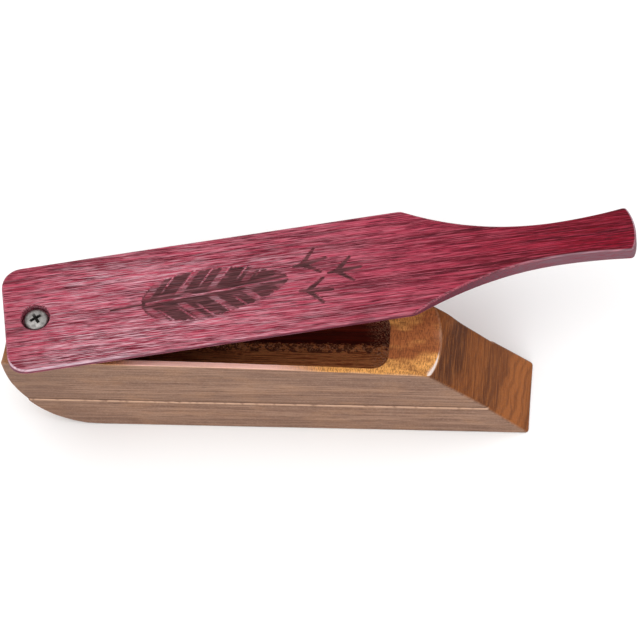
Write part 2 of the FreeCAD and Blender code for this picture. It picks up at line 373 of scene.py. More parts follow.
def towards(ring, target, distance):
    """The ring moved this far towards the matching points of another ring."""
    step = target - ring
    length = np.linalg.norm(step, axis=1, keepdims=True)
    return ring + step / np.maximum(length, 1e-9) * distance


def lowered(ring, distance):
    """The ring moved straight down."""
    return ring - np.array([0, 0, distance])


def box_rings():
    """Every ring of the box's skin, from the middle of the chamber floor round to the underside."""
    x, y = rounded_rectangle(CHAMBER_START, CHAMBER_END, HALF_CHAMBER, CHAMBER_CORNER, CHAMBER_CORNER)
    floor_edge = np.column_stack([x, y, np.full(len(x), CHAMBER_FLOOR)])
    floor_line = to_centre_line(floor_edge, HALF_CHAMBER)
    floor_inner = towards(floor_edge, floor_line, FLOOR_FILLET)
    wall_foot = lowered(floor_edge, -FLOOR_FILLET)
    inner_edge = onto_top(floor_edge)

    length = RAMP_END - PIVOT_END
    x, y = rounded_rectangle(0, length, HALF_BOX, BOW_CORNER, RAMP_CORNER)
    along, across = x / length, y / HALF_BOX
    outer_edge = top_edge_ring(along, across)
    inner_land = onto_top(towards(inner_edge, outer_edge, RIM_ROUND))
    outer_land = onto_top(towards(outer_edge, inner_edge, RIM_ROUND))
    side_top = skin_ring(along, across, outer_edge[:, 2] - RIM_ROUND)
    ground = np.zeros(len(along))
    above_ledge = ground + LEDGE_HEIGHT + 2 * LEDGE_DROP
    below_ledge = ground + LEDGE_HEIGHT - 3 * LEDGE_DROP
    foot = skin_ring(along, across, ground)
    foot_top = skin_ring(along, across, ground + FOOT_ROUND)
    base_line = to_centre_line(foot, HALF_BOX)
    foot_inner = towards(foot, base_line, FOOT_ROUND)

    rings = between(floor_line, floor_inner, 22)
    rings += rounded_edge(floor_inner, floor_edge, wall_foot, 5)
    rings += between(wall_foot, lowered(inner_edge, RIM_ROUND), 46)
    rings += rounded_edge(lowered(inner_edge, RIM_ROUND), inner_edge, inner_land, 4)
    rings += [onto_top(ring) for ring in between(inner_land, outer_land, 7)]
    rings += rounded_edge(outer_land, outer_edge, side_top, 4)
    rings += skin_rings(along, across, side_top[:, 2], above_ledge, 50)
    rings += skin_rings(along, across, above_ledge, below_ledge, 10)
    rings += skin_rings(along, across, below_ledge, foot_top[:, 2], 26)
    rings += rounded_edge(foot_top, foot, foot_inner, 5)
    rings += between(foot_inner, base_line, 14)
    rings.append(base_line)
    return rings


def near_surface(distance, reach):
    """1 on a surface, falling to 0 at this distance from it."""
    return 1 - smoothstep(0, reach, np.abs(distance))


def box_masks(points):
    """Which surface of the box each point is on, as soft shares."""
    x, y, z = points.T
    depth = top_height(x, y) - z
    in_length = (x > CHAMBER_START - RIM_ROUND) & (x < CHAMBER_END + RIM_ROUND)
    in_plan = in_length & (np.abs(y) < HALF_CHAMBER + RIM_ROUND)
    chamber = in_plan * smoothstep(0.3 * MM, 1.2 * MM, depth)
    chamber *= z > CHAMBER_FLOOR - MM
    floor = chamber * (1 - smoothstep(0.3 * MM, 3.5 * MM, z - CHAMBER_FLOOR))
    torn = smoothstep(CHAMBER_END - 13 * MM, CHAMBER_END - 4 * MM, x) * chamber
    wall_gap = np.minimum(HALF_CHAMBER - np.abs(y), CHAMBER_END - x)
    seam = near_surface(z - CHAMBER_FLOOR, 5 * MM) * near_surface(wall_gap, 4.5 * MM) * chamber
    top = near_surface(depth, 0.9 * MM) * (1 - chamber)
    ramp = near_surface(x - ramp_at(z), 1.1 * MM) * smoothstep(0.2 * MM, 0.9 * MM, depth)
    bow = near_surface(x - bow_at(z), 1.1 * MM) * smoothstep(0.2 * MM, 0.9 * MM, depth)
    side = np.clip(1 - chamber - top - ramp - bow, 0, 1)
    return {"chamber": chamber, "floor": floor, "torn": torn, "seam": seam, "top": top, "ramp": ramp,
            "bow": bow, "side": side}


def edge_wear(points):
    """Share of wear on the box's outer edges, broken up along their length."""
    x, y, z = points.T
    side_gap = np.abs(half_width_at(z) - np.abs(y))
    end_gap = np.minimum(np.abs(ramp_at(z) - x), np.abs(x - bow_at(z)))
    top_gap = np.abs(top_height(x, y) - z)
    gaps = np.sort(np.column_stack([side_gap, end_gap, top_gap]), axis=1)
    sharpness = near_surface(gaps[:, 1], 0.8 * MM) * near_surface(gaps[:, 0], 0.6 * MM)
    return sharpness * smoothstep(-0.5, 0.6, field(points, [5 * MM] * 3, 11))


def weather_box(box):
    """Small real unevenness: tool marks in the chamber, saw fuzz on the top, splinters on the ledge."""
    points, normals = points_of(box), normals_of(box)
    masks = box_masks(points)
    x, y, z = points.T
    planed = masks["side"] + masks["ramp"] + masks["bow"]
    move = 0.05 * MM * field(points, [30 * MM, 9 * MM, 7 * MM], 1) * planed
    move += 0.05 * MM * field(points, [0.9 * MM, 7 * MM, 7 * MM], 2) * masks["top"]
    low = near_surface(z - CHAMBER_FLOOR, 8 * MM) * masks["chamber"]
    corner = low * np.maximum(smoothstep(0.55, 0.95, np.abs(y) / HALF_CHAMBER), masks["torn"])
    gouges = np.sin(x / (1.1 * MM) + 2.5 * field(points, [9 * MM, 5 * MM, 5 * MM], 3))
    move += 0.35 * MM * corner * gouges * smoothstep(-0.4, 0.7, field(points, [7 * MM, 4 * MM, 2 * MM], 4))
    move += 0.22 * MM * corner * field(points, [1.3 * MM, 1.3 * MM, 1.3 * MM], 5)
    move += 0.10 * MM * masks["chamber"] * field(points, [1.6 * MM, 5 * MM, 2.5 * MM], 6)
    ledge = near_surface(z - LEDGE_HEIGHT, 0.7 * MM) * masks["side"]
    splinter = smoothstep(0.0, 0.9, field(points, [2.2 * MM, 5 * MM, 0.5 * MM], 7))
    move += 0.16 * MM * ledge * (splinter - 0.35)
    move -= 0.12 * MM * edge_wear(points)
    move *= smoothstep(0, FOOT_ROUND, z)
    swell = near_surface(z - SWELL_HEIGHT, SWELL_REACH) * smoothstep(-0.2, 1.0, y / HALF_BOX) * masks["ramp"]
    ramp_normal = np.array([RAMP_TOP_HEIGHT, 0, RAMP_RUN]) / math.hypot(RAMP_TOP_HEIGHT, RAMP_RUN)
    shifted = points + normals * move[:, None] + ramp_normal * (RAMP_SWELL * swell)[:, None]
    set_points(box, shifted)
    for name, values in masks.items():
        set_mask(box, name, values)
    set_mask(box, "worn", edge_wear(points))
    reach = 0.5 * MM + 0.7 * MM * smoothstep(-2 * MM, -HALF_BOX, y)
    arris = near_surface(x - ramp_at(z), reach) * near_surface(top_height(x, y) - z, reach)
    set_mask(box, "glint", arris * smoothstep(7 * MM, -9 * MM, y))
    # Pale ledge line: splintered fresh wood, and a painted highlight on the up-facing step.
    splintered_and_lit = near_surface(z - LEDGE_HEIGHT + 0.10 * MM, 0.45 * MM) * masks["side"]
    broken = smoothstep(-1.3, -0.1, field(points, [1.4 * MM, 5 * MM, 0.9 * MM], 8))
    set_mask(box, "ledge", splintered_and_lit * broken)
    # Painted shadow: a dark line just above the ledge.
    set_mask(box, "painted_ledge_shadow", near_surface(z - LEDGE_HEIGHT - 0.55 * MM, 0.5 * MM) * masks["side"])
    middle = (PIVOT_END + RAMP_END) / 2
    swept = smoothstep(middle - 62 * MM, middle - 45 * MM, x) * (1 - smoothstep(middle, middle + 28 * MM, x))
    set_mask(box, "rubbed", masks["top"] * swept * smoothstep(10 * MM, 13 * MM, np.abs(y)))


def make_box():
    """The walnut sound box with its chamber, spring pocket and pilot hole."""
    box = rings_to_mesh("sound_box_detail", box_rings())
    above = BOX_HIGH.z + 5 * MM
    pocket_floor = SPRING_LOW.z
    bottom = SCREW_LOW.z - 0.6 * MM
    profile = [(0, bottom), (PILOT_RADIUS, bottom), (PILOT_RADIUS, pocket_floor),
               (POCKET_RADIUS, pocket_floor), (POCKET_RADIUS, above), (0, above)]
    cut_away(box, lathe("pocket_cutter", profile, PIVOT))
    weather_box(box)
    shade(box, 40)
    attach(box, "sound_box")
    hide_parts("box_body")
    return box


# ---------------------------------------------------------------- the lid

def arc_share(neck_half, run, end_half):
    """Radius of the arc that leaves the neck and reaches the end half width after this run."""
    return radius_of_rise(run, end_half - neck_half)


def lid_half_width(u):
    """Half width of the lid at each place along it, from the rear corner to the tip."""
    back = arc_share(HALF_NECK, NECK - SHOULDER, HALF_LID)
    front = arc_share(HALF_NECK, TIP - NECK, HALF_TIP)
    handle = HALF_NECK + np.where(u < NECK, rise_at(back, np.clip(NECK - u, 0, NECK - SHOULDER)),
                                  rise_at(front, np.clip(u - NECK, 0, TIP - NECK)))
    return np.where(u < SHOULDER, HALF_LID, handle)


def lid_outline(count, softness):
    """Plan points of the lid, evenly spaced, with every corner softened."""
    bend = np.linspace(0, math.pi / 2, 40)
    corner_u = LID_REAR + LID_REAR_CORNER * (1 - np.cos(bend))
    corner_v = HALF_LID - LID_REAR_CORNER * (1 - np.sin(bend))
    along = np.linspace(LID_REAR + LID_REAR_CORNER, TIP, 1200)[1:]
    end_v = np.linspace(HALF_TIP, 0, 60)[1:]
    end_radius = radius_of_rise(HALF_TIP, TIP_BULGE)
    end_u = TIP + TIP_BULGE - rise_at(end_radius, end_v)
    u = np.concatenate([corner_u, along, end_u])
    v = np.concatenate([corner_v, lid_half_width(along), end_v])
    rear_v = np.linspace(0, corner_v[0], 40, endpoint=False)
    u = np.concatenate([np.full(len(rear_v), LID_REAR), u])
    v = np.concatenate([rear_v, v])
    u = np.concatenate([u, u[-2:0:-1], u[:1]])
    v = np.concatenate([v, -v[-2:0:-1], v[:1]])
    length = np.concatenate([[0], np.cumsum(np.hypot(np.diff(u), np.diff(v)))])
    even = np.linspace(0, length[-1], count, endpoint=False)
    outline = np.column_stack([np.interp(even, length, u), np.interp(even, length, v)])
    reach = int(3 * softness / (length[-1] / count)) + 1
    offsets = np.arange(-reach, reach + 1)
    weights = np.exp(-0.5 * (offsets * length[-1] / count / softness) ** 2)
    soft = sum(w * np.roll(outline, -k, axis=0) for k, w in zip(offsets, weights / weights.sum()))
    return soft


def inset(outline, distance):
    """The outline moved inwards."""
    along = np.roll(outline, -1, axis=0) - np.roll(outline, 1, axis=0)
    along /= np.linalg.norm(along, axis=1, keepdims=True)
    inward = np.column_stack([along[:, 1], -along[:, 0]])
    return outline + inward * distance


def crown(v):
    """Height of the crowned underside above its lowest line."""
    return rise_at(radius_of_rise(HALF_LID, LID_THICKNESS - LID_EDGE), np.clip(v, -HALF_LID, HALF_LID))


def lid_rings():
    """Every ring of the lid's skin, from the middle of its top round to the middle of its underside."""
    count = 1240
    outline = lid_outline(count, 1.0 * MM)
    inner = inset(outline, LID_TOP_ROUND)
    under = inset(outline, LID_BOTTOM_ROUND)
    line_u = np.clip(outline[:, 0], LID_REAR + HALF_LID, TIP - HALF_TIP / 2)

    def level(plan, height):
        return np.column_stack([plan, np.broadcast_to(height, count)])

    line = np.column_stack([line_u, np.zeros(count)])
    top = level(outline, LID_THICKNESS)
    bottom = level(outline, crown(outline[:, 1]))
    rings = between(level(line, LID_THICKNESS), level(inner, LID_THICKNESS), 52)
    rings += rounded_edge(level(inner, LID_THICKNESS), top, lowered(top, LID_TOP_ROUND), 6)
    side_foot = level(outline, crown(outline[:, 1]) + LID_BOTTOM_ROUND)
    rings += between(lowered(top, LID_TOP_ROUND), side_foot, 8)
    rings += rounded_edge(side_foot, bottom, level(under, crown(under[:, 1])), 4)
    for plan in between(under, line, 36):
        rings.append(level(plan, crown(plan[:, 1])))
    rings.append(level(line, 0))
    return rings


def stroke(u, v, start, end, width):
    """1 inside a straight round-ended stroke, 0 outside, with a soft rim."""
    run = np.array(end) - np.array(start)
    share = np.clip(((u - start[0]) * run[0] + (v - start[1]) * run[1]) / (run @ run), 0, 1)
    taper = width * (1 - 0.45 * share)
    gap = np.hypot(u - start[0] - share * run[0], v - start[1] - share * run[1])
    return 1 - smoothstep(-0.25 * MM, 0.25 * MM, gap - taper)


# Each toe's angle from the heading, and its length and width as shares of the track's size
BIRD_TOES = ((-0.75, 0.85, 0.11), (0, 1.0, 0.12), (0.75, 0.85, 0.11), (math.pi, 0.35, 0.09))


def bird_track(u, v, centre, heading, size):
    """Three-toed bird footprint."""
    mark = np.zeros(len(u))
    for spread, length, width in BIRD_TOES:
        angle = heading + spread
        end = (centre[0] + size * length * math.cos(angle), centre[1] + size * length * math.sin(angle))
        mark = np.maximum(mark, stroke(u, v, centre, end, width * size))
    return mark


def feather(u, v, base, length, half, tilt):
    """Broad tail feather: rounded vane cut by slanting barbs, with a pale quill line down its middle."""
    c, s = math.cos(tilt), math.sin(tilt)
    a = (u - base[0]) * c + (v - base[1]) * s
    b = -(u - base[0]) * s + (v - base[1]) * c
    share = np.clip(a / length, 0, 1)
    width = half * np.sin(math.pi * np.clip(share, 0, 1) ** 0.75) ** 0.55
    ragged = 0.35 * MM * field(np.column_stack([a, b, b * 0]), [0.8 * MM, 2 * MM, MM], 21)
    vane = 1 - smoothstep(-0.3 * MM, 0.3 * MM, np.abs(b) + ragged - width)
    slant = a - 0.9 * np.abs(b)
    notches = smoothstep(0.90, 0.97, np.cos(2 * math.pi * slant / (7.5 * MM) + 2.2 * np.sign(b)))
    notches *= smoothstep(0.25, 0.6, np.abs(b) / half)
    bars = smoothstep(0.55, 0.9, np.cos(2 * math.pi * (slant / (13 * MM))))
    bars *= smoothstep(0.1, 0.3, np.abs(b) / half) * 0.55
    quill = 1 - smoothstep(0.25 * MM, 0.5 * MM, np.abs(b))
    stem = (1 - smoothstep(0.35 * MM, 0.6 * MM, np.abs(b))) * (a > -0.22 * length) * (a < 0.02 * length)
    return np.maximum(vane * (a > 0) * (a < length) * (1 - notches) * (1 - bars) * (1 - quill), stem)


def burned_motif(u, v):
    """The burned decoration: a tail feather and a line of bird tracks."""
    mark = feather(u, v, (42 * MM, -1.5 * MM), 58 * MM, 11 * MM, 0.04)
    places = ((106 * MM, 6.0 * MM, 0.15), (107 * MM, -6.5 * MM, -0.10), (119 * MM, 0.5 * MM, 0.05))
    for place_u, place_v, heading in places:
        mark = np.maximum(mark, bird_track(u, v, (place_u, place_v), heading, 9.5 * MM))
    return mark


def lid_masks(local):
    """Burn, edge wear with a painted highlight, and each point's face of the lid, from its place in the
    lid's own frame.
    """
    u, v, w = local.T
    on_top = smoothstep(LID_THICKNESS - 0.15 * MM, LID_THICKNESS - 0.02 * MM, w)
    from_pivot = np.hypot(u, v)
    on_top *= smoothstep(RECESS_RADIUS, RECESS_RADIUS + 0.3 * MM, from_pivot)
    burn = burned_motif(u, v) * on_top
    patchy = smoothstep(-0.75, 0.1, field(local, [5 * MM, 0.55 * MM, 5 * MM], 22))
    burn *= 0.55 + 0.45 * patchy
    outside = from_pivot > RECESS_RADIUS + 0.6 * MM
    upper = smoothstep(LID_THICKNESS - LID_TOP_ROUND * 1.05, LID_THICKNESS - LID_TOP_ROUND * 0.5, w)
    # Painted highlight: the near-left edge, the handle's near edge and the tip's end are painted paler than
    # the light wear elsewhere.
    painted_highlight = 0.85 * smoothstep(-15 * MM, -21 * MM, v) * smoothstep(50 * MM, 15 * MM, u)
    handle_edge = 0.25 * smoothstep(3 * MM, -5 * MM, v) * smoothstep(175 * MM, 205 * MM, u)
    tip_edge = 0.7 * smoothstep(TIP - 2 * MM, TIP, u) * smoothstep(-9 * MM, 3 * MM, v)
    painted_highlight = np.maximum(painted_highlight, np.maximum(handle_edge, tip_edge))
    edge = upper * (1 - on_top) * outside * (0.10 + 0.90 * painted_highlight)
    flank = (1 - upper) * smoothstep(0.2 * MM, 0.6 * MM, w - crown(v)) * outside
    under = (1 - smoothstep(0.1 * MM, 0.5 * MM, w - crown(v))) * outside
    return {"burn": burn, "edge": edge, "flank": flank, "under": under}


def weather_lid(lid):
    """Raised grain, burned hollows and knocked edges as real relief."""
    local = points_of(lid)
    normals = normals_of(lid)
    masks = lid_masks(local)
    move = 0.030 * MM * field(local, [9 * MM, 0.6 * MM, 3 * MM], 23)
    move += 0.05 * MM * field(local, [45 * MM, 8 * MM, 8 * MM], 24)
    move -= BURN_DEPTH * masks["burn"]
    move -= 0.10 * MM * masks["edge"] * smoothstep(0.0, 0.8, field(local, [6 * MM, 4 * MM, 4 * MM], 25))
    in_bore = np.hypot(local[:, 0], local[:, 1]) < RECESS_RADIUS + 0.2 * MM
    move = np.where(in_bore, 0, move)
    set_points(lid, local + normals * move[:, None])
    for name, values in masks.items():
        set_mask(lid, name, values)


def make_lid():
    """The purpleheart paddle with its screw recess, loose hole and washer seat."""
    lid = rings_to_mesh("paddle_lid_detail", lid_rings())
    below, above = -5 * MM, LID_THICKNESS + 3 * MM
    floor = WASHER_LOW.z - LID_LOW.z
    seat = SEAT_HIGH.z - LID_LOW.z
    rim = LID_THICKNESS - RECESS_BEVEL
    flare = RECESS_RADIUS + RECESS_BEVEL + above - LID_THICKNESS
    profile = [(0, below), (SEAT_RADIUS, below), (SEAT_RADIUS, seat), (HOLE_RADIUS, seat),
               (HOLE_RADIUS, floor), (RECESS_RADIUS, floor), (RECESS_RADIUS, rim), (flare, above),
               (0, above)]
    cut_away(lid, lathe("recess_cutter", profile, (0, 0)))
    weather_lid(lid)
    placed = turned(points_of(lid), SWING) + np.array([PIVOT.x, PIVOT.y, LID_LOW.z])
    set_points(lid, placed)
    shade(lid, 40)
    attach(lid, "paddle")
    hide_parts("lid")
    return lid


# ---------------------------------------------------------------- the hardware

def eased_copy(node, name, body, width):
    """Copy of a CAD node with its sharp edges eased; the copy stands for the node."""
    source = frame["nodes"][node]
    piece = bpy.data.objects.new(name, source.data.copy())
    piece.data.materials.clear()
    bpy.context.scene.collection.objects.link(piece)
    work = bmesh.new()
    work.from_mesh(piece.data)
    bmesh.ops.remove_doubles(work, verts=work.verts, dist=0.001 * MM)
    work.to_mesh(piece.data)
    work.free()
    bevel = piece.modifiers.new("ease", "BEVEL")
    bevel.width = width
    bevel.segments = 2
    bevel.limit_method = "ANGLE"
    bevel.angle_limit = math.radians(35)
    shade(piece, 35)
    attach(piece, body)
    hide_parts(node)
    return piece


def seat_driver(screw):
    """Turn the screw to where it was left when it was driven, and mark its driver recess for painted shade.
    """
    centre = np.array([PIVOT.x, PIVOT.y, 0])
    points = turned(points_of(screw) - centre, DRIVEN_ANGLE) + centre
    set_points(screw, points)
    x, y, z = (points - centre).T
    # Points in the head's driver recess, which the material paints near black as painted shade.
    in_recess = (np.hypot(x, y) < DRIVER_REACH) & (z > WASHER_HIGH.z) & (z < SCREW_HIGH.z - DRIVER_LIP)
    set_mask(screw, "painted_recess_shade", in_recess.astype(float))


# ---------------------------------------------------------------- materials

def add(tree, kind, inputs=None, **settings):
    """New shader node; each input is a plain value or another node's output."""
    made = tree.nodes.new(kind)
    for key, value in settings.items():
        setattr(made, key, value)
    for key, value in (inputs or {}).items():
        if isinstance(value, bpy.types.NodeSocket):
            tree.links.new(value, made.inputs[key])
        else:
            made.inputs[key].default_value = value
    return made


def new_material(name, **sockets):
    """Material with an empty Principled surface; returns it with its tree and shader."""
    material = bpy.data.materials.new(name)
    material.use_nodes = True
    tree = material.node_tree
    tree.nodes.clear()
    shader = add(tree, "ShaderNodeBsdfPrincipled")
    out = add(tree, "ShaderNodeOutputMaterial")
    tree.links.new(shader.outputs["BSDF"], out.inputs["Surface"])
    for key, value in sockets.items():
        shader.inputs[key.replace("_", " ")].default_value = value
    return material, tree, shader


def place(tree, angle=0.0):
    """Coordinates in millimetres in the object's frame, turned so that x runs along the grain."""
    coords = add(tree, "ShaderNodeTexCoord").outputs["Object"]
    inputs = {"Vector": coords, "Rotation": (0, 0, -angle), "Scale": (1000, 1000, 1000)}
    return add(tree, "ShaderNodeMapping", inputs, vector_type="POINT").outputs["Vector"]


def stretched(tree, coords, size):
    """Coordinates divided by the size of one blob along each axis."""
    inputs = {0: coords, 1: tuple(1 / s for s in size)}
    return add(tree, "ShaderNodeVectorMath", inputs, operation="MULTIPLY").outputs[0]


def grain(tree, coords, size, detail=3.0, roughness=0.55, distortion=0.0):
    """Noise whose blobs have this size in millimetres."""
    inputs = {"Vector": stretched(tree, coords, size), "Scale": 1.0, "Detail": detail,
              "Roughness": roughness, "Distortion": distortion}
    return add(tree, "ShaderNodeTexNoise", inputs).outputs["Fac"]


def curve(tree, value, low, high, to_low=0.0, to_high=1.0):
    """Value mapped from one range to another and held inside it."""
    inputs = {"Value": value, "From Min": low, "From Max": high, "To Min": to_low, "To Max": to_high}
    return add(tree, "ShaderNodeMapRange", inputs, interpolation_type="SMOOTHSTEP").outputs["Result"]


def math_node(tree, operation, first, second):
    """One arithmetic step on two numbers."""
    return add(tree, "ShaderNodeMath", {0: first, 1: second}, operation=operation).outputs[0]


def waves(tree, value, length):
    """Sine of the value, with one wave in this length."""
    turn = math_node(tree, "MULTIPLY", value, 2 * math.pi / length)
    return add(tree, "ShaderNodeMath", {0: turn}, operation="SINE").outputs[0]


def mixed(tree, share, first, second, blend="MIX"):
    """Colour between two colours."""
    made = add(tree, "ShaderNodeMix", data_type="RGBA", blend_type=blend)
    for index, value in ((0, share), (6, first), (7, second)):
        if isinstance(value, bpy.types.NodeSocket):
            tree.links.new(value, made.inputs[index])
        else:
            made.inputs[index].default_value = value if index == 0 else (*value, 1)
    return made.outputs[2]


def mask(tree, name):
    """Number stored on the mesh."""
    return add(tree, "ShaderNodeAttribute", attribute_name=name).outputs["Fac"]


def bumped(tree, shader, height, distance, before=None):
    """Bump from a height field; distance is in metres."""
    inputs = {"Height": height, "Distance": distance, "Strength": 1.0}
    if before is not None:
        inputs["Normal"] = before
    normal = add(tree, "ShaderNodeBump", inputs).outputs["Normal"]
    tree.links.new(normal, shader.inputs["Normal"])
    return normal


# Colours of the lid's purpleheart, linear
HANDLE_DEEP = (0.065, 0.001, 0.004)
BLADE_DEEP = (0.135, 0.007, 0.018)
HANDLE_ROSE = (0.235, 0.003, 0.016)
BLADE_ROSE = (0.420, 0.047, 0.087)
HANDLE_LIGHT = (0.360, 0.028, 0.058)
BLADE_LIGHT = (0.560, 0.140, 0.190)
DUST_ROSE = (0.62, 0.34, 0.41)
DUST_PALE = (0.70, 0.45, 0.50)
PORE_CRIMSON = (0.050, 0.003, 0.010)
# Worn edge with a painted highlight.
WORN_AND_HIGHLIT_LILAC = (0.74, 0.56, 0.64)
FLANK_DARK = (0.090, 0.032, 0.048)
FLANK_MAUVE = (0.195, 0.105, 0.130)
CHALK_PINK = (0.50, 0.25, 0.30)
CHAR_BLACK = (0.035, 0.012, 0.013)
CHAR_BROWN = (0.110, 0.038, 0.042)


def purpleheart():
    """Sanded purpleheart: crimson ground, fine raised fibres, paler towards the pivot, burned motif, edges
    with a painted highlight.
    """
    material, tree, shader = new_material("purpleheart_sanded", Specular_IOR_Level=0.06)
    coords = place(tree, SWING - GRAIN_LEAN)
    parts = add(tree, "ShaderNodeSeparateXYZ", {0: coords})
    along, across = parts.outputs["X"], parts.outputs["Y"]
    pivot_along = PIVOT.x / MM * math.cos(SWING)
    pivot_across = -PIVOT.x / MM * math.sin(SWING - GRAIN_LEAN)
    paler_to_pivot = curve(tree, along, pivot_along + 190, pivot_along + 10)
    rosy = curve(tree, along, pivot_along + 225, pivot_along + 110)

    patches = grain(tree, coords, (42, 8, 8), 2.0, 0.5)
    bands = grain(tree, coords, (60, 2.4, 2.4), 3.0, 0.6, 0.2)
    fibres = grain(tree, coords, (15, 0.34, 0.34), 2.5, 0.65)
    hairs = grain(tree, coords, (9.0, 0.27, 0.27), 2.0, 0.65)
    pores = grain(tree, coords, (8.0, 0.24, 0.24), 1.5, 0.6)
    flecks = grain(tree, coords, (1.2, 0.30, 0.30), 2.0, 0.6)

    deep = mixed(tree, rosy, HANDLE_DEEP, BLADE_DEEP)
    rose = mixed(tree, rosy, HANDLE_ROSE, BLADE_ROSE)
    light = mixed(tree, rosy, HANDLE_LIGHT, BLADE_LIGHT)
    chalky = mixed(tree, patches, DUST_ROSE, DUST_PALE)
    ground = mixed(tree, curve(tree, bands, 0.34, 0.62), deep, rose)
    ground = mixed(tree, curve(tree, fibres, 0.50, 0.62, 0.0, 0.75), ground, light)
    ground = mixed(tree, curve(tree, fibres, 0.48, 0.36, 0.0, 0.80), ground, deep)
    near_edge = curve(tree, across, pivot_across - 4, pivot_across - 20, 0.0, 0.12)
    # Paler pink-grey fibres towards the pivot end and the near edge, fewer at the rear corner and the far
    # side, in patches.
    paleness = math_node(tree, "ADD", curve(tree, paler_to_pivot, 0, 1, 0.03, 0.86), near_edge)
    less_pale_at_rear = math_node(tree, "MULTIPLY", curve(tree, along, pivot_along - 12, pivot_along + 14, 0.45, 1.0),
                      curve(tree, across, pivot_across + 23, pivot_across + 12, 0.55, 1.0))
    paleness = math_node(tree, "MULTIPLY", paleness, less_pale_at_rear)
    haze = math_node(tree, "MULTIPLY", curve(tree, patches, 0.30, 0.70, 0.60, 1.0), paleness)
    pale = math_node(tree, "MULTIPLY", curve(tree, hairs, 0.44, 0.64), haze)
    ground = mixed(tree, pale, ground, chalky)
    ground = mixed(tree, curve(tree, flecks, 0.62, 0.72, 0.0, 0.45), ground, light)
    ground = mixed(tree, curve(tree, pores, 0.53, 0.62, 0.0, 0.82), ground, PORE_CRIMSON)
    # Edge colour: light wear all round, and a painted highlight where the edge mask is strong.
    worn = math_node(tree, "MULTIPLY", mask(tree, "edge"), curve(tree, fibres, 0.35, 0.60, 0.45, 0.95))
    ground = mixed(tree, worn, ground, WORN_AND_HIGHLIT_LILAC)
    mauve = mixed(tree, curve(tree, along, pivot_along + 150, pivot_along + 205), FLANK_DARK,
                  FLANK_MAUVE)
    mauve = mixed(tree, curve(tree, fibres, 0.42, 0.65, 0.0, 0.45), mauve, rose)
    ground = mixed(tree, math_node(tree, "MULTIPLY", mask(tree, "flank"), 0.92), ground, mauve)
    chalk = math_node(tree, "MULTIPLY", mask(tree, "under"), curve(tree, bands, 0.4, 0.7, 0.1, 0.45))
    ground = mixed(tree, chalk, ground, CHALK_PINK)
    char = mixed(tree, curve(tree, fibres, 0.40, 0.62), CHAR_BLACK, CHAR_BROWN)
    ground = mixed(tree, math_node(tree, "MULTIPLY", mask(tree, "burn"), 0.97), ground, char)
    tree.links.new(ground, shader.inputs["Base Color"])

    tree.links.new(curve(tree, fibres, 0.3, 0.7, 0.40, 0.62), shader.inputs["Roughness"])
    normal = bumped(tree, shader, hairs, 0.14 * MM)
    normal = bumped(tree, shader, fibres, 0.20 * MM, normal)
    bumped(tree, shader, pores, -0.16 * MM, normal)
    return material


# Colours of the box's walnut, linear
SIDE_DARK = (0.175, 0.090, 0.060)
SIDE_LIGHT = (0.315, 0.185, 0.125)
SIDE_BAND = (0.160, 0.088, 0.062)
SIDE_WARM = (0.340, 0.180, 0.100)
SIDE_FLECK = (0.400, 0.265, 0.190)
BOW_SHADE = (0.120, 0.060, 0.038)
RAMP_HIGH = (0.185, 0.050, 0.009)
RAMP_FOOT = (0.350, 0.110, 0.028)
BAND_HIGH = (0.052, 0.012, 0.003)
BAND_FOOT = (0.190, 0.055, 0.014)
RAMP_LINE = (0.080, 0.022, 0.007)
COMB_LIGHT = (0.360, 0.122, 0.030)
COMB_DARK = (0.075, 0.022, 0.008)
HEARTWOOD = (0.365, 0.112, 0.036)
SAPWOOD = (0.850, 0.400, 0.112)
TOP_LINE = (0.200, 0.052, 0.016)
SAW_DARK = (0.130, 0.038, 0.014)
TOP_SHADE = (0.190, 0.066, 0.024)
# Chamber walls: painted shade under the lid, over the wood's own dark colour.
SHADED_WALL_DARK = (0.046, 0.003, 0.002)
SHADED_WALL_RED = (0.172, 0.015, 0.006)
FLOOR_DARK = (0.270, 0.070, 0.022)
# Pale chamber floor tone: painted light from the opening.
FLOOR_PAINTED_LIGHT = (0.800, 0.290, 0.105)
# Painted shade in tool-mark divots.
DIVOT_SHADE_RED = (0.060, 0.010, 0.006)
CHIP_PALE = (0.560, 0.240, 0.130)
SPLINTER_PALE = (0.640, 0.330, 0.200)
LINE_DARK = (0.080, 0.034, 0.018)
PORE_DARK = (0.055, 0.024, 0.014)
RUBBED_PINK = (0.84, 0.49, 0.43)
# Painted shadow just above the ledge.
LEDGE_SHADOW_DARK = (0.050, 0.022, 0.014)
# Splintered fresh wood with a painted highlight.
LEDGE_SPLINTER_AND_HIGHLIGHT = (0.66, 0.42, 0.29)
WORN_PALE = (0.60, 0.42, 0.32)
GLINT_PALE = (0.84, 0.74, 0.70)
# Distances between the broad and the narrow growth bands, in mm
BROAD_RING = 17.0
NARROW_RING = 2.9


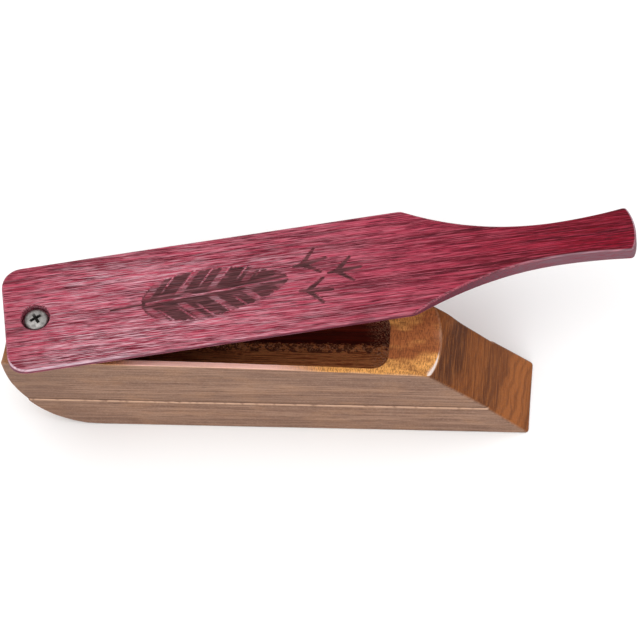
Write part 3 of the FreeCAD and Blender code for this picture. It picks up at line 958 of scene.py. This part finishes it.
def walnut():
    """Oiled walnut: grey-brown sides, golden sawn top, darker ramp with growth bands, painted shade and
    light in the chamber and at the ledge.
    """
    material, tree, shader = new_material("walnut_oiled", Specular_IOR_Level=0.12)
    coords = place(tree)
    parts = add(tree, "ShaderNodeSeparateXYZ", {0: coords})
    x, y, z = (parts.outputs[axis] for axis in "XYZ")
    warp = grain(tree, coords, (70, 24, 24), 2.0, 0.5)
    layer = math_node(tree, "ADD", z, math_node(tree, "MULTIPLY", y, 0.20))
    layer = math_node(tree, "ADD", layer, math_node(tree, "MULTIPLY", warp, 11.0))
    broad = curve(tree, waves(tree, layer, BROAD_RING), -0.7, 0.9)
    narrow = curve(tree, waves(tree, layer, NARROW_RING), -0.2, 1.0)
    streaks = grain(tree, coords, (38, 0.8, 0.8), 3.0, 0.62)
    lines = grain(tree, coords, (14, 0.34, 0.34), 3.0, 0.62)
    pores = grain(tree, coords, (3.5, 0.26, 0.26), 1.0, 0.5)
    blotch = grain(tree, coords, (16, 7, 7), 2.0, 0.55)
    speckle = grain(tree, coords, (0.7, 0.7, 0.7), 3.0, 0.65)
    clots = grain(tree, coords, (3.2, 2.2, 2.2), 2.0, 0.6)
    saw = grain(tree, coords, (0.34, 2.0, 1.5), 3.0, 0.62)
    combed = grain(tree, coords, (0.45, 13, 0.45), 3.0, 0.6)

    side = mixed(tree, curve(tree, streaks, 0.38, 0.62), SIDE_DARK, SIDE_LIGHT)
    side = mixed(tree, math_node(tree, "MULTIPLY", broad, 0.30), side, SIDE_BAND)
    side = mixed(tree, curve(tree, blotch, 0.45, 0.70, 0.0, 0.35), side, SIDE_WARM)
    side = mixed(tree, curve(tree, speckle, 0.45, 0.70, 0.0, 0.30), side, SIDE_FLECK)
    side = mixed(tree, curve(tree, x, BOX_LOW.x / MM + 40, BOX_LOW.x / MM + 5, 0.0, 0.30), side, BOW_SHADE)
    foot = curve(tree, z, 30, 4, 0.0, 1.0)
    ramp = mixed(tree, foot, RAMP_HIGH, RAMP_FOOT)
    dark_band = mixed(tree, foot, BAND_HIGH, BAND_FOOT)
    ramp = mixed(tree, math_node(tree, "MULTIPLY", broad, 0.75), ramp, dark_band)
    ramp = mixed(tree, math_node(tree, "MULTIPLY", narrow, 0.35), ramp, RAMP_LINE)
    ramp = mixed(tree, curve(tree, combed, 0.46, 0.64, 0.0, 0.50), ramp, COMB_LIGHT)
    ramp = mixed(tree, curve(tree, combed, 0.46, 0.34, 0.0, 0.45), ramp, COMB_DARK)
    sapwood = math_node(tree, "ADD", curve(tree, y, -4, -12, -0.10, 0.26), blotch)
    top = mixed(tree, curve(tree, sapwood, 0.36, 0.66), HEARTWOOD, SAPWOOD)
    top = mixed(tree, math_node(tree, "MULTIPLY", narrow, 0.30), top, TOP_LINE)
    top = mixed(tree, curve(tree, saw, 0.44, 0.60, 0.0, 0.62), top, SAW_DARK)
    shaded = curve(tree, x, BOX_LOW.x / MM + 60, BOX_LOW.x / MM + 30, 0.0, 0.80)
    top = mixed(tree, shaded, top, TOP_SHADE)
    # Chamber walls: painted shade under the lid, over the wood's own dark streaks.
    shaded_wall = mixed(tree, curve(tree, streaks, 0.35, 0.7), SHADED_WALL_DARK, SHADED_WALL_RED)
    # Chamber floor: the pale tone is painted light falling in through the opening.
    floor_painted_light_and_shadow = mixed(tree, curve(tree, lines, 0.36, 0.64), FLOOR_DARK, FLOOR_PAINTED_LIGHT)
    # Painted shadow of the lid: the floor darkens into the walls' painted shade towards the pivot end.
    floor_painted_light_and_shadow = mixed(tree, curve(tree, x, CHAMBER_END / MM - 55, CHAMBER_END / MM - 95, 0.0, 0.65), floor_painted_light_and_shadow, shaded_wall)
    ragged = math_node(tree, "ADD", mask(tree, "floor"), curve(tree, speckle, 0.3, 0.7, -0.25, 0.25))
    chamber = mixed(tree, curve(tree, ragged, 0.40, 0.62), shaded_wall, floor_painted_light_and_shadow)
    # Painted shade: dark blotches for the shade in tool-mark divots along the floor corner.
    divot_shade = math_node(tree, "MULTIPLY", mask(tree, "seam"), curve(tree, clots, 0.44, 0.56, 0.0, 2.2))
    chamber = mixed(tree, curve(tree, divot_shade, 0.35, 0.85, 0.0, 0.80), chamber, DIVOT_SHADE_RED)
    chips = math_node(tree, "MULTIPLY", mask(tree, "seam"), curve(tree, speckle, 0.50, 0.62, 0.0, 1.0))
    chamber = mixed(tree, curve(tree, chips, 0.25, 0.70, 0.0, 0.85), chamber, CHIP_PALE)
    splinters = math_node(tree, "MULTIPLY", mask(tree, "torn"), curve(tree, speckle, 0.50, 0.60, 0.0, 0.85))
    chamber = mixed(tree, splinters, chamber, SPLINTER_PALE)
    colour = mixed(tree, mask(tree, "ramp"), side, ramp)
    colour = mixed(tree, mask(tree, "bow"), colour, mixed(tree, 0.45, side, ramp))
    colour = mixed(tree, mask(tree, "top"), colour, top)
    colour = mixed(tree, mask(tree, "chamber"), colour, chamber)
    colour = mixed(tree, curve(tree, lines, 0.56, 0.68, 0.0, 0.50), colour, LINE_DARK)
    colour = mixed(tree, curve(tree, pores, 0.62, 0.74, 0.0, 0.55), colour, PORE_DARK)
    rub = math_node(tree, "MULTIPLY", mask(tree, "rubbed"), curve(tree, lines, 0.35, 0.60, 0.72, 1.0))
    colour = mixed(tree, rub, colour, RUBBED_PINK)
    # Painted shadow: a dark line just above the ledge.
    colour = mixed(tree, math_node(tree, "MULTIPLY", mask(tree, "painted_ledge_shadow"), 0.80), colour, LEDGE_SHADOW_DARK)
    # Pale ledge line: splintered fresh wood, and a painted highlight on the up-facing step.
    colour = mixed(tree, math_node(tree, "MULTIPLY", mask(tree, "ledge"), 0.85), colour, LEDGE_SPLINTER_AND_HIGHLIGHT)
    worn = math_node(tree, "MULTIPLY", mask(tree, "worn"), 0.40)
    colour = mixed(tree, worn, colour, WORN_PALE)
    colour = mixed(tree, curve(tree, mask(tree, "glint"), 0.30, 0.80, 0.0, 0.85), colour, GLINT_PALE)
    tree.links.new(colour, shader.inputs["Base Color"])

    sheen = curve(tree, streaks, 0.3, 0.7, 0.44, 0.62)
    rough = math_node(tree, "ADD", sheen, math_node(tree, "MULTIPLY", mask(tree, "chamber"), 0.25))
    tree.links.new(rough, shader.inputs["Roughness"])
    saw_height = math_node(tree, "MULTIPLY", saw, mask(tree, "top"))
    torn_height = math_node(tree, "MULTIPLY", speckle, mask(tree, "chamber"))
    normal = bumped(tree, shader, lines, 0.12 * MM)
    normal = bumped(tree, shader, saw_height, 0.22 * MM, normal)
    normal = bumped(tree, shader, torn_height, 0.50 * MM, normal)
    bumped(tree, shader, pores, -0.10 * MM, normal)
    return material


def plated_steel(name, tint, scratch_size, rough_low, rough_high):
    """Zinc-plated steel: fine scratches, cloudy dulling, small dark specks and painted shade where a recess
    is marked.
    """
    material, tree, shader = new_material(name, Metallic=1.0)
    coords = place(tree)
    scratches = grain(tree, coords, scratch_size, 3.0, 0.6)
    clouds = grain(tree, coords, (1.6, 1.6, 1.6), 3.0, 0.5)
    specks = grain(tree, coords, (0.25, 0.25, 0.25), 1.0, 0.5)
    dull = tuple(0.62 * c for c in tint)
    colour = mixed(tree, curve(tree, clouds, 0.4, 0.65), tint, dull)
    colour = mixed(tree, curve(tree, specks, 0.66, 0.76, 0.0, 0.8), colour, (0.10, 0.08, 0.07))
    # Painted shade: near black where the mesh marks a recess.
    colour = mixed(tree, mask(tree, "painted_recess_shade"), colour, (0.022, 0.019, 0.017))
    tree.links.new(colour, shader.inputs["Base Color"])
    tree.links.new(curve(tree, clouds, 0.3, 0.7, rough_low, rough_high), shader.inputs["Roughness"])
    bumped(tree, shader, scratches, 0.03 * MM)
    return material


def fibre():
    """Dark vulcanised fibre: mottled brown-black with a felted surface."""
    material, tree, shader = new_material("vulcanised_fibre", Specular_IOR_Level=0.3)
    coords = place(tree)
    mottle = grain(tree, coords, (0.6, 0.6, 0.3), 4.0, 0.6)
    colour = mixed(tree, curve(tree, mottle, 0.35, 0.65), (0.016, 0.008, 0.007), (0.060, 0.028, 0.022))
    tree.links.new(colour, shader.inputs["Base Color"])
    tree.links.new(curve(tree, mottle, 0.3, 0.7, 0.7, 0.9), shader.inputs["Roughness"])
    bumped(tree, shader, mottle, 0.06 * MM)
    return material


def studio_paper():
    """Pale backdrop with the faintest mottling."""
    material, tree, shader = new_material("studio_paper", Roughness=0.9, Specular_IOR_Level=0.2)
    coords = place(tree)
    mottle = grain(tree, coords, (60, 60, 60), 2.0, 0.5)
    tree.links.new(mixed(tree, mottle, (0.94, 0.94, 0.94), (0.96, 0.96, 0.955)), shader.inputs["Base Color"])
    return material


def dress(piece, material):
    """Give the piece one material all over."""
    piece.data.materials.clear()
    piece.data.materials.append(material)


# ---------------------------------------------------------------- studio

FLOOR_GAP = 0.05 * MM
CAMERA_AZIMUTH = 14.38
CAMERA_ELEVATION = 57.82
CAMERA_ROLL = 11.22
CAMERA_DISTANCE = 1.500
CAMERA_LENS = 213.65
CAMERA_AIM = Vector((0.0025, 0.0175, 0.0274))
SENSOR_WIDTH = 36.0
CLIP_END = 10.0
FLOOR_REACH = 4.0
SURROUND_STRENGTH = 0.98
# Name, place, aim, side and power of each softbox
SOFTBOXES = (("overhead", (-0.35, -0.35, 1.4), (-0.02, 0.02, 0.03), 1.5, 8.5),
             ("front_fill", (-0.6, -1.5, 0.7), (0, 0, 0.02), 1.4, 5))


def view_axes():
    """Right, up and backward directions of the camera."""
    azimuth, elevation = math.radians(CAMERA_AZIMUTH), math.radians(CAMERA_ELEVATION)
    back = Vector((math.sin(azimuth) * math.cos(elevation), -math.cos(azimuth) * math.cos(elevation),
                   math.sin(elevation)))
    level = Vector((math.cos(azimuth), math.sin(azimuth), 0))
    upright = back.cross(level)
    roll = math.radians(CAMERA_ROLL)
    right = level * math.cos(roll) - upright * math.sin(roll)
    up = level * math.sin(roll) + upright * math.cos(roll)
    return right, up, back


def make_camera():
    """Long-lens camera at the studio viewpoint."""
    right, up, back = view_axes()
    data = bpy.data.cameras.new("camera")
    data.lens = CAMERA_LENS
    data.sensor_width = SENSOR_WIDTH
    data.clip_end = CLIP_END
    camera = bpy.data.objects.new("camera", data)
    bpy.context.scene.collection.objects.link(camera)
    rotation = Matrix((right, up, back)).transposed()
    camera.matrix_world = Matrix.Translation(CAMERA_AIM + back * CAMERA_DISTANCE) @ rotation.to_4x4()
    bpy.context.scene.camera = camera


def area_light(name, place_at, aim, size, power):
    """Square softbox aimed at a point."""
    data = bpy.data.lights.new(name, "AREA")
    data.shape = "SQUARE"
    data.size = size
    data.energy = power
    light = bpy.data.objects.new(name, data)
    light.location = place_at
    light.rotation_euler = (Vector(aim) - Vector(place_at)).to_track_quat("-Z", "Y").to_euler()
    bpy.context.scene.collection.objects.link(light)


def make_studio():
    """Pale floor, bright surround and softboxes."""
    corners = ((-1, -1), (1, -1), (1, 1), (-1, 1))
    points = [(x * FLOOR_REACH, y * FLOOR_REACH, -FLOOR_GAP) for x, y in corners]
    floor = mesh_object("studio_floor", points, [(0, 1, 2, 3)])
    dress(floor, studio_paper())
    world = bpy.data.worlds.new("studio_surround")
    world.use_nodes = True
    world.node_tree.nodes["Background"].inputs["Color"].default_value = (1.0, 1.0, 1.0, 1)
    world.node_tree.nodes["Background"].inputs["Strength"].default_value = SURROUND_STRENGTH
    bpy.context.scene.world = world
    for name, stands_at, aim, size, power in SOFTBOXES:
        area_light(name, stands_at, aim, size, power)
    bpy.context.scene.view_settings.view_transform = "Standard"


# ---------------------------------------------------------------- assembly

box_piece = make_box()
lid_piece = make_lid()
screw_piece = eased_copy("pivot_screw", "pivot_screw_detail", "sound_box", 0.08 * MM)
seat_driver(screw_piece)
head_washer = eased_copy("head_washer", "head_washer_detail", "swivel", 0.10 * MM)
spring_washer = eased_copy("spring_washer", "spring_washer_detail", "paddle", 0.10 * MM)

dress(box_piece, walnut())
dress(lid_piece, purpleheart())
dress(screw_piece, plated_steel("screw_zinc", (0.340, 0.325, 0.310), (2.5, 0.10, 0.10), 0.38, 0.58))
dress(head_washer, fibre())
dress(spring_washer, plated_steel("washer_zinc", (0.66, 0.65, 0.62), (0.5, 0.5, 0.1), 0.30, 0.50))
spring_wire = plated_steel("spring_wire", (0.52, 0.51, 0.50), (0.2, 0.2, 0.2), 0.25, 0.42)
dress(frame["nodes"]["lid_spring"], spring_wire)

make_camera()
make_studio()
